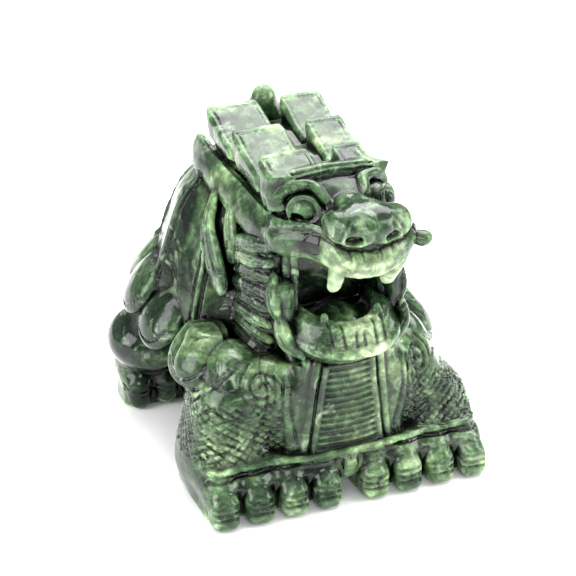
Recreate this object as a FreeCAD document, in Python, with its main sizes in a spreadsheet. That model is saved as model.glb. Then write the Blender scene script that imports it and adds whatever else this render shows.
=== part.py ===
"""Jade dragon turtle figurine, as a parametric FreeCAD document.

The figurine is carved from one block of stone.  Each carved feature is a solid of its own, cut so that it meets
its neighbours face to face.  The figure faces -Y, +Z is up, and the origin is at the middle of its footprint on
the table.  "right" and "left" are the creature's own: its right side is at -X.
"""
import FreeCAD, Part
import math
import os
import Sketcher

SIDES = (("right", -1), ("left", 1))

# The shell's marginal lobes on one side, front to rear: the distance behind the first lobe, how far out each one
# sits as a share of the rim's half width, and the angle it is turned to follow the rim.
RIM_STATIONS = ((0.0, 0.90, -16), (13.6, 0.90, -14), (27.4, 0.97, -8), (41.2, 0.99, 8), (54.0, 0.84, 38),
                (63.0, 0.50, 70))

# Driving dimensions in millimetres, and how the rest follow from them.
DIMENSIONS = (
    # overall stance
    ("rear_y", 50.0), ("front_y", -50.0), ("top_z", 96.0),
    # soles, feet and toes
    ("toe_pitch", 9.6), ("toe_width", 7.6), ("toe_first_x", 7.0), ("toe_front_y", -44.4), ("toe_height", 12.6),
    ("toe_length", 8.6), ("foot_rear_y", -11.0), ("foot_height", 13.0),
    ("hind_toe_front_y", 22.5), ("hind_foot_inner_x", 18.5), ("hind_foot_outer_x", 42.5), ("hind_foot_rear_y", 38.0),
    ("hind_foot_height", 13.0), ("hind_toe_pitch", 8.0), ("hind_toe_length", 5.0),
    # body
    ("plastron_bottom_z", 13.0), ("plastron_thick", 2.7), ("plastron_front_y", -40.2), ("plastron_half_width", 36.0),
    ("plastron_rear_y", 42.0), ("torso_half_width", 20.0), ("torso_front_y", -36.0), ("torso_top_z", 36.0),
    ("chest_top_half_width", 7.9), ("chest_bottom_half_width", 11.6), ("chest_top_z", 41.5), ("chest_thick", 2.6),
    ("rib_count", 12),
    # shell
    ("shell_centre_y", 14.5), ("shell_half_width", 37.0), ("shell_half_length", 34.0), ("shell_top_z", 87.0),
    ("rim_half_width", 39.5), ("rim_front_y", -20.5), ("rim_front_z", 32.5), ("rim_rear_z", 42.0),
    # neck and mane
    ("neck_half_width", 15.0), ("neck_front_y", -24.0), ("neck_rear_y", 6.0), ("mane_thick", 6.0),
    ("mane_front_y", -27.0), ("mane_rear_y", -6.0), ("mane_ridges", 8), ("lock_x", 22.0),
    # head
    ("skull_half_width", 15.0), ("skull_bottom_z", 69.0), ("skull_top_z", 82.0), ("skull_front_y", -24.0),
    ("skull_rear_y", 22.0), ("brow_front_y", -31.0), ("brow_top_z", 89.5), ("eye_radius", 3.6), ("eye_x", 10.6),
    ("eye_y", -30.6), ("eye_z", 82.6), ("muzzle_half_width", 13.0), ("muzzle_front_y", -43.0),
    ("muzzle_top_z", 80.0), ("nose_y", -42.6), ("nose_z", 83.4), ("lip_half_width", 16.6), ("lip_front_y", -47.0), ("lip_bottom_z", 71.5),
    ("lip_top_z", 77.5), ("fang_x", 8.0), ("fang_length", 6.0), ("jaw_half_width", 15.0), ("jaw_front_y", -45.0),
    ("jaw_rim_z", 54.0), ("chin_z", 43.0), ("jaw_wall", 3.0),
    # crest and horns
    ("crest_pitch", 18.4), ("crest_gap_half", 3.6), ("crest_outer_x", 15.8), ("crest_rear_y", 20.2),
    ("crest_top_z", 93.8), ("crest_length", 18.0), ("crest_drop", 5.8), ("crest_last_length", 9.6),
    ("crest_last_drop", 2.6), ("horn_thick", 4.6), ("horn_front_y", -27.5), ("horn_rear_y", 26.0),
    ("horn_bottom_z", 71.5), ("horn_height", 7.0),
)

doc = FreeCAD.newDocument("DragonTurtle")
sheet = doc.addObject("Spreadsheet::Sheet", "Dimensions")
for row, (alias, value) in enumerate(DIMENSIONS, start=1):
    sheet.set("A%d" % row, alias)
    sheet.set("B%d" % row, "%g" % value)
    sheet.setAlias("B%d" % row, alias)
doc.recompute()

SIZE = dict(DIMENSIONS)
parts = []


def cells(expression):
    """An expression in which each dimension's plain name stands for its cell."""
    words = str(expression).split(" ")
    return " ".join("Dimensions." + word if word in SIZE else word for word in words)


def bind(thing, **expressions):
    """Bind properties of an object to the sheet.  A double underscore in a key stands for a dot."""
    for key, expression in expressions.items():
        thing.setExpression(key.replace("__", "."), cells(expression))
    return thing


def place(thing, x=0, y=0, z=0):
    """Bind where an object stands."""
    return bind(thing, Placement__Base__x=x, Placement__Base__y=y, Placement__Base__z=z)


def turn(thing, axis, degrees):
    """Turn an object about an axis through its own origin."""
    thing.Placement = FreeCAD.Placement(thing.Placement.Base, FreeCAD.Rotation(FreeCAD.Vector(*axis), degrees))
    return thing


def ellipsoid(name, rx, ry, rz, x=0, y=0, z=0):
    """A lobe with its half-sizes along X, Y and Z."""
    thing = doc.addObject("Part::Ellipsoid", name)
    return place(bind(thing, Radius1=rz, Radius2=rx, Radius3=ry), x, y, z)


def box(name, x0, x1, y0, y1, z0, z1):
    """A block between two limits on each axis."""
    thing = doc.addObject("Part::Box", name)
    bind(thing, Length="( %s ) - ( %s )" % (x1, x0), Width="( %s ) - ( %s )" % (y1, y0))
    bind(thing, Height="( %s ) - ( %s )" % (z1, z0))
    return place(thing, x0, y0, z0)


def side_box(name, side, inner, outer, y0, y1, z0, z1):
    """A block on one side of the middle, from its inner to its outer distance."""
    near, far = ("-( %s )" % outer, "-( %s )" % inner) if side < 0 else (inner, outer)
    return box(name, near.replace("-( ", "-1 * ( "), far.replace("-( ", "-1 * ( "), y0, y1, z0, z1)


def fuse(name, *shapes):
    thing = doc.addObject("Part::MultiFuse", name)
    thing.Shapes = list(shapes)
    return thing


def group(name, *shapes):
    """Several separate solids in one node."""
    thing = doc.addObject("Part::Compound", name)
    thing.Links = list(shapes)
    return thing


def cut(name, base, *tools):
    """The base without what its neighbours take, one neighbour after another."""
    for k, tool in enumerate(tools, start=1):
        thing = doc.addObject("Part::Cut", "%s_%d" % (name, k))
        thing.Base = base
        thing.Tool = tool
        base = thing
    return base


def rounded(name, base, radius, chosen):
    """Round the edges that the chosen() test picks from the base."""
    doc.recompute()
    thing = doc.addObject("Part::Fillet", name)
    thing.Base = base
    thing.Edges = [(i, radius, radius) for i, edge in enumerate(base.Shape.Edges, start=1) if chosen(edge)]
    return thing


def node(thing, label):
    """Keep an object as one node of the figure."""
    thing.Label = label
    parts.append(thing)
    return thing


def prism(name, role, outline, length, midplane=True):
    """A body padded from a closed outline, whose corners are pairs of expressions on an origin plane."""
    body = doc.addObject("PartDesign::Body", name)
    sketch = body.newObject("Sketcher::SketchObject", name + "_outline")
    plane = [feature for feature in body.Origin.OriginFeatures if feature.Role == role][0]
    sketch.AttachmentSupport = (plane, [""])
    sketch.MapMode = "FlatFace"
    count = len(outline)
    start = [FreeCAD.Vector(math.cos(2 * math.pi * i / count), math.sin(2 * math.pi * i / count), 0)
             for i in range(count)]
    for i in range(count):
        sketch.addGeometry(Part.LineSegment(start[i], start[(i + 1) % count]), False)
    for i in range(count):
        sketch.addConstraint(Sketcher.Constraint("Coincident", i, 2, (i + 1) % count, 1))
    for i, corner in enumerate(outline):
        for kind, expression in zip(("DistanceX", "DistanceY"), corner):
            k = sketch.addConstraint(Sketcher.Constraint(kind, -1, 1, i, 1, 1.0))
            sketch.setExpression("Constraints[%d]" % k, cells(expression))
    pad = body.newObject("PartDesign::Pad", name + "_pad")
    pad.Profile = sketch
    pad.Midplane = midplane
    bind(pad, Length=length)
    doc.recompute()
    return body


def across_edge(edge):
    """True for a straight edge that runs along X."""
    return edge.BoundBox.XLength > 1e-3 and edge.BoundBox.YLength < 1e-6 and edge.BoundBox.ZLength < 1e-6


def make_feet():
    """Fore feet with four toes each, and hind feet whose toes are part of the foot."""
    feet = {}
    for name, side in SIDES:
        outer = "toe_first_x + 3 * toe_pitch + toe_width / 2"
        inner = "toe_first_x - toe_width / 2"
        block = side_box("fore_block_" + name, side, inner, outer, "toe_front_y + toe_length", "foot_rear_y",
                         "0", "foot_height")
        toes = []
        for k in range(4):
            middle = "toe_first_x + %d * toe_pitch" % k
            toe = side_box("fore_toe_%s_%d" % (name, k), side, middle + " - toe_width / 2",
                           middle + " + toe_width / 2", "toe_front_y", "toe_front_y + toe_length", "0", "toe_height")
            front = lambda edge: across_edge(edge) and edge.BoundBox.YMax < SIZE["toe_front_y"] + 0.1 \
                and edge.BoundBox.ZMax > 1
            toes.append(rounded("fore_toe_round_%s_%d" % (name, k), toe, 3.2, front))
        node(group("fore_toe_group_" + name, *toes), "fore_toes_" + name)
        feet["fore", side] = node(block, "fore_foot_" + name)
        hind = side_box("hind_block_" + name, side, "hind_foot_inner_x", "hind_foot_outer_x",
                        "hind_toe_front_y + hind_toe_length", "hind_foot_rear_y", "0", "hind_foot_height")
        hind_toes = []
        for k in range(3):
            near = "hind_foot_inner_x + %d * hind_toe_pitch" % k
            hind_toes.append(side_box("hind_toe_%s_%d" % (name, k), side, near, near + " + hind_toe_pitch - 0.6",
                                      "hind_toe_front_y", "hind_toe_front_y + hind_toe_length", "0",
                                      "hind_foot_height - 3"))
        feet["hind", side] = node(fuse("hind_foot_fused_" + name, hind, *hind_toes), "hind_foot_" + name)
    return feet


def make_body():
    """The flat belly plate, the torso on it, the ribbed chest plate and the boss under the plate's front edge."""
    half = "plastron_half_width"
    outline = [("-13", "plastron_front_y"), ("13", "plastron_front_y"), ("27", "plastron_front_y + 4"),
               (half, "plastron_front_y + 9"), (half, "plastron_front_y + 30"), ("22", "plastron_front_y + 40"),
               ("22", "plastron_rear_y"), ("-22", "plastron_rear_y"), ("-22", "plastron_front_y + 40"),
               ("-1 * " + half, "plastron_front_y + 30"), ("-1 * " + half, "plastron_front_y + 9"),
               ("-27", "plastron_front_y + 4")]
    plate = place(prism("plastron_body", "XY_Plane", outline, "plastron_thick", midplane=False),
                  z="plastron_bottom_z")
    boss = cut("boss_cut", ellipsoid("boss_lobe", "3", "5.5", "7", "0", "plastron_front_y + 6", "plastron_bottom_z"),
               box("boss_lid", "-9", "9", "plastron_front_y - 3", "plastron_front_y + 15", "plastron_bottom_z",
                   "plastron_bottom_z + 9"))
    top_of_plate = "plastron_bottom_z + plastron_thick"
    torso = box("torso_block", "-1 * torso_half_width", "torso_half_width", "torso_front_y", "plastron_rear_y",
                top_of_plate, "torso_top_z")
    chest_outline = [("-1 * chest_bottom_half_width", top_of_plate), ("chest_bottom_half_width", top_of_plate),
                     ("chest_top_half_width", "chest_top_z"), ("-1 * chest_top_half_width", "chest_top_z")]
    chest = prism("chest_body", "XZ_Plane", chest_outline, "chest_thick", midplane=False)
    place(chest, y="torso_front_y")
    groove_pitch = (SIZE["chest_top_z"] - SIZE["plastron_bottom_z"] - SIZE["plastron_thick"]) / (SIZE["rib_count"] + 1)
    grooves = []
    for k in range(1, SIZE["rib_count"] + 1):
        level = SIZE["plastron_bottom_z"] + SIZE["plastron_thick"] + k * groove_pitch
        share = k / (SIZE["rib_count"] + 1)
        reach = (1 - share) * SIZE["chest_bottom_half_width"] + share * SIZE["chest_top_half_width"] - 2.2
        grooves.append(box("rib_groove_%d" % k, "%g" % -reach, "%g" % reach, "torso_front_y - chest_thick - 1",
                           "torso_front_y - chest_thick + 0.6", "%g" % (level - 0.35), "%g" % (level + 0.35)))
    node(plate, "plastron")
    node(boss, "plastron_boss")
    node(cut("chest_ribbed", chest, *grooves), "chest_plate")
    return {"plate": plate, "torso": torso}


def make_legs(body):
    """Fore legs that taper up to the shoulders, and round hind haunches over the hind feet."""
    legs = []
    for name, side in SIDES:
        wedge = doc.addObject("Part::Wedge", "fore_wedge_" + name)
        bind(wedge, Xmin="0", Xmax="19", X2min="0", X2max="12", Ymin="0", Ymax="44 - foot_height",
             Zmin="0", Zmax="26", Z2min="4", Z2max="22")
        turn(wedge, (1, 0, 0), 90)
        place(wedge, "torso_half_width", "foot_rear_y + 1", "foot_height")
        leg = wedge
        if side < 0:
            leg = doc.addObject("Part::Mirroring", "fore_mirror_" + name)
            leg.Source = wedge
            leg.Normal = (1, 0, 0)
        leg = cut("fore_leg_cut_" + name, leg, body["plate"])
        legs.append(node(leg, "fore_leg_" + name))
        haunch = ellipsoid("haunch_lobe_" + name, "13", "13.5", "17", "%d * 33.2" % side, "30.5", "18")
        under = box("haunch_floor_" + name, "-60", "60", "10", "60", "-5", "hind_foot_height")
        inner = side_box("haunch_inner_" + name, side, "0", "torso_half_width + 2", "0", "60", "0", "60")
        legs.append(node(cut("haunch_cut_" + name, haunch, under, inner), "hind_leg_" + name))
    return legs


def make_tail():
    """The short tail curled up against the rear of the shell."""
    lobe = ellipsoid("tail_lobe", "6", "7", "13", "0", "rear_y - 7", "29")
    return cut("tail_cut", lobe, box("tail_front", "-20", "20", "10", "plastron_rear_y", "0", "80"))


def make_rim():
    """Scalloped lobes that hang along the shell's edge, lower towards the front."""
    lobes = []
    for name, side in SIDES:
        for k, (along, out, turned) in enumerate(RIM_STATIONS, start=1):
            lobe = ellipsoid("rim_lobe_%s_%d" % (name, k), "5.4", "8", "6.2")
            turn(lobe, (0, 0, 1), side * turned)
            place(lobe, "%g * rim_half_width" % (side * out), "rim_front_y + %g" % along,
                  "rim_front_z + ( rim_rear_z - rim_front_z ) * %g" % (along / RIM_STATIONS[-1][0]))
            lobes.append((lobe, "marginal_scute_%s_%d" % (name, k)))
    return lobes


def make_neck():
    """The neck column, the ridged mane on its sides and the long locks that hang over the shell."""
    outline = [("torso_front_y + 1", "torso_top_z"), ("neck_rear_y", "torso_top_z"),
               ("neck_rear_y", "skull_bottom_z"), ("neck_front_y + 2", "skull_bottom_z"),
               ("neck_front_y", "chin_z + 8"), ("torso_front_y + 4", "chin_z - 1"),
               ("torso_front_y + 1", "chin_z - 3")]
    neck = prism("neck_body", "YZ_Plane", outline, "2 * neck_half_width")
    manes, locks = [], []
    for name, side in SIDES:
        teeth = int(SIZE["mane_ridges"])
        step = "( skull_bottom_z - torso_top_z ) / mane_ridges"
        outline = [("neck_half_width", "skull_bottom_z"), ("neck_half_width", "torso_top_z")]
        for k in range(teeth):
            low = "torso_top_z + %d * " % k + step
            mid = "torso_top_z + %g * " % (k + 0.5) + step
            outline += [("neck_half_width + mane_thick - 1.6", low), ("neck_half_width + mane_thick", mid)]
        outline.append(("neck_half_width + mane_thick - 1.6", "skull_bottom_z"))
        if side < 0:
            outline = [("-1 * ( %s )" % x, z) for x, z in outline]
        mane = prism("mane_body_" + name, "XZ_Plane", outline, "mane_rear_y - mane_front_y", midplane=False)
        place(mane, y="mane_rear_y")
        manes.append(mane)
        for k, (y, z, reach) in enumerate(((3.4, 64.0, 13.0), (-3.6, 66.5, 8.5)), start=1):
            lobe = ellipsoid("lock_%s_%d" % (name, k), "2.4", "3.2", "%g" % reach, "%d * lock_x" % side, "%g" % y,
                             "%g" % z)
            locks.append(turn(lobe, (1, 0, 0), -14))
    return neck, manes, locks


def make_head():
    """Skull, brow, eyes, muzzle, nose, lips, fangs, jaw, teeth and tongue."""
    skull = box("skull_block", "-1 * skull_half_width", "skull_half_width", "skull_front_y", "skull_rear_y",
                "skull_bottom_z", "skull_top_z")
    brow_outline = [("skull_front_y", "muzzle_top_z"), ("skull_front_y", "brow_top_z - 1"),
                    ("skull_front_y - 3", "brow_top_z"), ("brow_front_y", "brow_top_z - 2.5"),
                    ("brow_front_y + 1", "muzzle_top_z")]
    brow_raw = prism("brow_body", "YZ_Plane", brow_outline, "2 * skull_half_width")
    muzzle_raw = box("muzzle_block", "-1 * muzzle_half_width", "muzzle_half_width", "muzzle_front_y",
                     "skull_front_y", "lip_bottom_z + 1.5", "muzzle_top_z")
    nose_lobe = ellipsoid("nose_lobe", "11", "nose_y - front_y", "5.6", "0", "nose_y", "nose_z")
    wings = [ellipsoid("nose_wing_" + name, "3.2", "4.0", "3.6", "%d * 9.6" % side, "nose_y + 1.5", "nose_z - 2.6")
             for name, side in SIDES]
    eyes = [ellipsoid("eye_" + name, "eye_radius", "eye_radius", "eye_radius", "%d * eye_x" % side, "eye_y", "eye_z")
            for name, side in SIDES]
    nose_raw = fuse("nose_fused", nose_lobe, *wings)
    brow = cut("brow_cut", brow_raw, *eyes)
    lip_outline = [("-1 * lip_half_width", "skull_front_y"), ("-1 * lip_half_width", "lip_front_y + 7"),
                   ("-10", "lip_front_y"), ("10", "lip_front_y"), ("lip_half_width", "lip_front_y + 7"),
                   ("lip_half_width", "skull_front_y")]
    lip_plate = prism("lip_body", "XY_Plane", lip_outline, "lip_top_z - lip_bottom_z", midplane=False)
    place(lip_plate, z="lip_bottom_z")
    lip = cut("lip_cut", lip_plate, muzzle_raw, box("lip_mouth", "-1 * muzzle_half_width", "muzzle_half_width",
                                                    "muzzle_front_y", "skull_front_y + 1", "lip_bottom_z - 1",
                                                    "lip_bottom_z + 2"))
    nose = cut("nose_cut", nose_raw, muzzle_raw, brow_raw, lip_plate, *eyes)
    muzzle = cut("muzzle_cut", muzzle_raw, *eyes)
    fangs = []
    for name, side in SIDES:
        fang = doc.addObject("Part::Cone", "fang_" + name)
        bind(fang, Radius1="1", Radius2="2.4", Height="fang_length")
        fangs.append(place(fang, "%d * fang_x" % side, "lip_front_y + 4", "lip_bottom_z - fang_length"))
    bowl = ellipsoid("jaw_bowl", "jaw_half_width", "neck_front_y - jaw_front_y - 2", "jaw_rim_z - chin_z", "0",
                     "neck_front_y - 2", "jaw_rim_z")
    hollow = ellipsoid("jaw_hollow", "jaw_half_width - jaw_wall", "neck_front_y - jaw_front_y - 2 - jaw_wall",
                       "jaw_rim_z - chin_z - jaw_wall", "0", "neck_front_y - 2", "jaw_rim_z")
    above = box("jaw_above", "-30", "30", "-60", "0", "jaw_rim_z", "jaw_rim_z + 20")
    jaw = cut("jaw_cut", bowl, hollow, above)
    teeth = []
    for k in range(-2, 3):
        angle = 24 * k
        tooth = doc.addObject("Part::Cone", "tooth_%d" % (k + 3))
        bind(tooth, Radius1="1.4", Radius2="0.8", Height="3.2 + %g" % (1.2 * (abs(k) == 2)))
        teeth.append(place(tooth, "( jaw_half_width - 1.5 ) * sin( %d deg )" % angle,
                           "neck_front_y - 2 - ( neck_front_y - jaw_front_y - 3.5 ) * cos( %d deg )" % angle,
                           "jaw_rim_z"))
    tongue = ellipsoid("tongue_lobe", "5.2", "9.5", "2.4", "0", "neck_front_y - 8", "jaw_rim_z - 1.4")
    return {"skull": skull, "brow": brow, "brow_raw": brow_raw, "muzzle": muzzle, "nose": nose, "eyes": eyes,
            "lip": lip, "lip_plate": lip_plate, "fangs": fangs, "jaw": jaw, "bowl": bowl, "teeth": teeth,
            "tongue": tongue}


def make_cheeks():
    """The leaf curls beside the jaw, the webs between the jaws and the curled whiskers at the lip's corners."""
    leaves, webs, whiskers = [], [], []
    for name, side in SIDES:
        front = ellipsoid("leaf_front_" + name, "2.6", "4.0", "6.0", "%d * 17.2" % side, "-32.5", "51.5")
        rear = ellipsoid("leaf_rear_" + name, "2.4", "2.8", "6.8", "%d * 18.0" % side, "-29.6", "62.0")
        leaves.append(cut("leaf_pair_" + name, group("leaf_group_" + name, front, rear),
                          side_box("leaf_back_" + name, side, "0", "30", "mane_front_y", "0", "30", "80")))
        webs.append(side_box("web_" + name, side, "jaw_half_width - 3.6", "jaw_half_width - 1", "neck_front_y - 8",
                             "neck_front_y + 2", "jaw_rim_z", "lip_bottom_z"))
        whisker = ellipsoid("whisker_" + name, "3.4", "3.0", "2.8", "%d * ( lip_half_width + 2 )" % side,
                            "lip_front_y + 6", "lip_top_z - 2")
        whiskers.append(whisker)
    return leaves, webs, whiskers


def make_crest():
    """Two rows of three wedge blocks, each high at its rear edge, and the round knob behind them."""
    blocks = []
    for name, side in SIDES:
        for k in range(3):
            rear = "crest_rear_y - %d * crest_pitch" % k
            length, drop = ("crest_last_length", "crest_last_drop") if k == 2 else ("crest_length", "crest_drop")
            front = "%s - %s" % (rear, length)
            outline = [(rear, "skull_top_z"), (rear, "crest_top_z"), (front, "crest_top_z - " + drop),
                       (front, "skull_top_z")]
            block = prism("crest_body_%s_%d" % (name, k + 1), "YZ_Plane", outline, "crest_outer_x - crest_gap_half")
            place(block, x="%g * ( crest_outer_x + crest_gap_half )" % (0.5 * side))
            lift = SIZE["crest_top_z"] - 0.1
            top_rear = lambda edge: across_edge(edge) and edge.BoundBox.ZMax > lift
            blocks.append((rounded("crest_round_%s_%d" % (name, k + 1), block, 2.2, top_rear),
                           "crest_block_%s_%d" % (name, k + 1)))
    knob = ellipsoid("knob_lobe", "4.4", "4.2", "8", "0", "crest_rear_y + 3.4", "top_z - 8")
    return blocks, knob


def make_horns():
    """The long flat horns that sweep back from the brow along the sides of the head."""
    horns = []
    for name, side in SIDES:
        outline = [("horn_front_y", "horn_bottom_z"), ("horn_rear_y - 6", "horn_bottom_z + 1.5"),
                   ("horn_rear_y", "horn_bottom_z + 6"), ("horn_rear_y - 1", "horn_bottom_z + 9.2"),
                   ("horn_rear_y - 7", "horn_bottom_z + 9.8"), ("horn_front_y + 1.5", "horn_bottom_z + horn_height")]
        horn = prism("horn_body_" + name, "YZ_Plane", outline, "horn_thick")
        horns.append(place(horn, x="%d * ( skull_half_width + horn_thick / 2 )" % side))
    return horns


def build():
    """Make every feature, let each take its room from the larger ones behind it, and keep the nodes."""
    make_feet()
    body = make_body()
    legs = make_legs(body)
    neck, manes, locks = make_neck()
    head = make_head()
    leaves, webs, whiskers = make_cheeks()
    blocks, knob = make_crest()
    horns = make_horns()
    rim = make_rim()

    torso = body["torso"]
    fore_legs = [leg for leg in legs if leg.Label.startswith("fore")]
    lobes = [lobe for lobe, label in rim]
    for (lobe, label), before in zip(rim, [None] + lobes[:-1]):
        neighbours = [before] if before and not label.endswith("_1") else []
        node(cut("scute_cut_" + label, lobe, torso, *legs, *neighbours), label)
    rear_blocks = [block for block, label in blocks if label.endswith("_1")]
    bed = box("crest_bed", "-1 * crest_outer_x", "crest_outer_x", "skull_front_y", "crest_rear_y", "skull_top_z - 1",
              "top_z + 4")
    head_blocks = [head["skull"], neck, knob, bed] + rear_blocks + horns
    dome = turn(ellipsoid("dome", "shell_half_width", "shell_top_z - torso_top_z", "shell_half_length"), (1, 0, 0), 90)
    dome.Angle3 = 180
    place(dome, "0", "shell_centre_y", "torso_top_z")
    tail = make_tail()
    node(cut("carapace_cut", dome, *head_blocks, *manes, *locks, *lobes, *fore_legs, tail), "carapace")
    node(torso, "torso")
    node(tail, "tail")

    node(neck, "neck")
    for (name, side), mane in zip(SIDES, manes):
        node(cut("mane_cut_" + name, mane, *legs), "mane_" + name)
        pair = [lock for lock in locks if name in lock.Name]
        node(cut("locks_cut_" + name, group("locks_group_" + name, *pair), *manes, *horns), "mane_locks_" + name)

    node(cut("skull_cut", head["skull"], knob), "skull")
    node(head["brow"], "brow")
    for (name, side), eye in zip(SIDES, head["eyes"]):
        node(eye, "eye_" + name)
    node(head["muzzle"], "muzzle")
    node(head["nose"], "nose")
    node(head["lip"], "upper_lip")
    node(group("fang_group", *head["fangs"]), "upper_fangs")
    node(cut("jaw_final", head["jaw"], neck, head["tongue"]), "lower_jaw")
    node(group("tooth_group", *head["teeth"]), "lower_teeth")
    node(cut("tongue_cut", head["tongue"], neck), "tongue")

    for i, (name, side) in enumerate(SIDES):
        node(cut("leaf_cut_" + name, leaves[i], head["bowl"], manes[i]), "cheek_leaves_" + name)
        node(cut("web_cut_" + name, webs[i], neck, manes[i]), "jaw_web_" + name)
        node(cut("whisker_cut_" + name, whiskers[i], head["lip_plate"]), "lip_whisker_" + name)
        node(cut("horn_cut_" + name, horns[i], head["brow_raw"], head["lip_plate"]), "horn_" + name)
    for block, label in blocks:
        node(cut("block_cut_" + label, block, knob, head["brow_raw"]), label)
    node(knob, "crest_knob")


def check_and_write():
    """Stop on any failed object, then write each node's solids."""
    doc.recompute()
    for thing in doc.Objects:
        if "Invalid" in thing.State or "Error" in thing.State:
            raise SystemExit("%s failed: %s" % (thing.Name, thing.State))
    os.makedirs("parts", exist_ok=True)
    for old in os.listdir("parts"):
        os.remove(os.path.join("parts", old))
    whole = FreeCAD.BoundBox()
    for thing in parts:
        shape = thing.Shape
        if shape.isNull() or not shape.isValid() or not shape.Solids:
            raise SystemExit("%s has no valid solid" % thing.Label)
        whole.add(shape.BoundBox)
        shape.exportStep(os.path.join("parts", thing.Label + ".step"))
        print("%-26s %d solid(s) %8.1f mm3" % (thing.Label, len(shape.Solids), shape.Volume))
    print("%d nodes, box %s" % (len(parts), whole))


build()
check_and_write()
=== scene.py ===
"""Polished jade dragon turtle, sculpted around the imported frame.

The figure is sculpted as distance fields on one shared grid, in millimetres.  Only the creature's left
half (x >= 0) is computed, and the right half is its mirror until waver() makes them differ a little.  Every
node of the frame has a zone: a field of its own that joins its neighbours in one common skin.  Each zone
becomes a closed mesh that shows its own part of the skin and dives under its neighbours at its borders.
"""
import bpy
import math
import numpy as np
from mathutils import Matrix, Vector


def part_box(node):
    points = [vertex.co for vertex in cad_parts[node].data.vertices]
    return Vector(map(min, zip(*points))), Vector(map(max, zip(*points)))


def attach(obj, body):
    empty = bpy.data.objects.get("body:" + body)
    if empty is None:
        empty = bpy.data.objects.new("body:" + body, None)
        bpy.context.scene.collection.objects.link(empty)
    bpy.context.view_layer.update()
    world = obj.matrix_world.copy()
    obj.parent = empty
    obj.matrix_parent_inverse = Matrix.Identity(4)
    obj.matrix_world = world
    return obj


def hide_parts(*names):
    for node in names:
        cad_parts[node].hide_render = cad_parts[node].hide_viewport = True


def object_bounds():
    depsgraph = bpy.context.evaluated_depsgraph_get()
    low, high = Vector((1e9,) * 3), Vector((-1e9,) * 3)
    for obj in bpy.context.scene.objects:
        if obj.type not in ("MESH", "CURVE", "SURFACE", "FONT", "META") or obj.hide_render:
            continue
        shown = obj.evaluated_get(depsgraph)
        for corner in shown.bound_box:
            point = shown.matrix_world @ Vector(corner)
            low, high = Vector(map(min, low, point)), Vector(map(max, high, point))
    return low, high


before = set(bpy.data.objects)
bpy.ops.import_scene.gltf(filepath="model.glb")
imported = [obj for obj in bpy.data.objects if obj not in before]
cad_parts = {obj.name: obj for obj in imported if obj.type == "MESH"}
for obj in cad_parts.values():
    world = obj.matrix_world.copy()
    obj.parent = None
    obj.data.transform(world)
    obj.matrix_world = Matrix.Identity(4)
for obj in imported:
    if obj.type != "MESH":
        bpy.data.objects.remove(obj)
cad_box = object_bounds()

MM = 1000.0
STEP = 0.3   # grid spacing
FAR = 1000.0                        # the field where there is nothing
PAD = 6.0                           # how far a zone's grid goes past its CAD box
REARWARD, INWARD = np.array((0.0, 1.0, 0.0)), np.array((-1.0, 0.0, 0.0))


def mm(node):
    """A node's lowest and highest corners in millimetres."""
    low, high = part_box(node)
    return np.array(low) * MM, np.array(high) * MM


def vec(*values):
    return np.array(values, float)


# ---- the shared grid

LOW, HIGH = np.array(cad_box[0]) * MM - 3.0, np.array(cad_box[1]) * MM + 3.0
LOW[0] = 0.0
LOW[1:] = np.floor(LOW[1:] / STEP) * STEP
COUNT = np.ceil((HIGH - LOW) / STEP).astype(int) + 1


def window(low, high):
    """The index range of the grid that covers a box."""
    first = np.clip(np.floor((np.asarray(low) - LOW) / STEP).astype(int), 0, COUNT)
    last = np.clip(np.ceil((np.asarray(high) - LOW) / STEP).astype(int) + 1, 0, COUNT)
    return first, last


def coordinates(first, last):
    """Open coordinate arrays of an index range."""
    axes = [LOW[a] + STEP * np.arange(first[a], last[a], dtype=np.float32) for a in range(3)]
    return (axes[0].astype(np.float32)[:, None, None], axes[1].astype(np.float32)[None, :, None],
            axes[2].astype(np.float32)[None, None, :])


def join(a, b, k):
    """The union of two fields, blended over a distance k."""
    if k <= 0:
        return np.minimum(a, b)
    h = np.clip(k - np.abs(a - b), 0, None) / k
    return np.minimum(a, b) - h * h * (k * 0.25)


def remove(a, b, k):
    """The field a without b, with the edge softened over a distance k."""
    return -join(-a, b, k)


# ---- shapes: (field, low corner, high corner)

def frame_of(direction, up=(0, 0, 1)):
    """A rotation whose third column points along a direction."""
    w = vec(*direction) / np.linalg.norm(direction)
    u = np.cross(up, w)
    if np.linalg.norm(u) < 1e-6:
        u = np.cross((0, 1, 0), w)
    u /= np.linalg.norm(u)
    return np.stack([u, np.cross(w, u), w], axis=1)


def spun(x=0, y=0, z=0):
    """A rotation by degrees about X, then Y, then Z."""
    a, b, c = np.radians((x, y, z))
    rx = np.array([[1, 0, 0], [0, math.cos(a), -math.sin(a)], [0, math.sin(a), math.cos(a)]])
    ry = np.array([[math.cos(b), 0, math.sin(b)], [0, 1, 0], [-math.sin(b), 0, math.cos(b)]])
    rz = np.array([[math.cos(c), -math.sin(c), 0], [math.sin(c), math.cos(c), 0], [0, 0, 1]])
    return rz @ ry @ rx


def local(x, y, z, centre, turn):
    px, py, pz = x - centre[0], y - centre[1], z - centre[2]
    if turn is None:
        return px, py, pz
    t = turn.astype(np.float32)
    return tuple(px * t[0, a] + py * t[1, a] + pz * t[2, a] for a in range(3))


def ball(centre, radii, turn=None):
    """An ellipsoid."""
    centre, radii = vec(*centre), vec(*radii)
    reach = radii if turn is None else np.abs(turn) @ radii

    def field(x, y, z):
        p = local(x, y, z, centre, turn)
        near = sum((q / r) ** 2 for q, r in zip(p, radii))
        slope = sum((q / (r * r)) ** 2 for q, r in zip(p, radii))
        near = np.sqrt(near)
        return near * (near - 1) / np.maximum(np.sqrt(slope), 1e-4)
    return field, centre - reach, centre + reach


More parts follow.
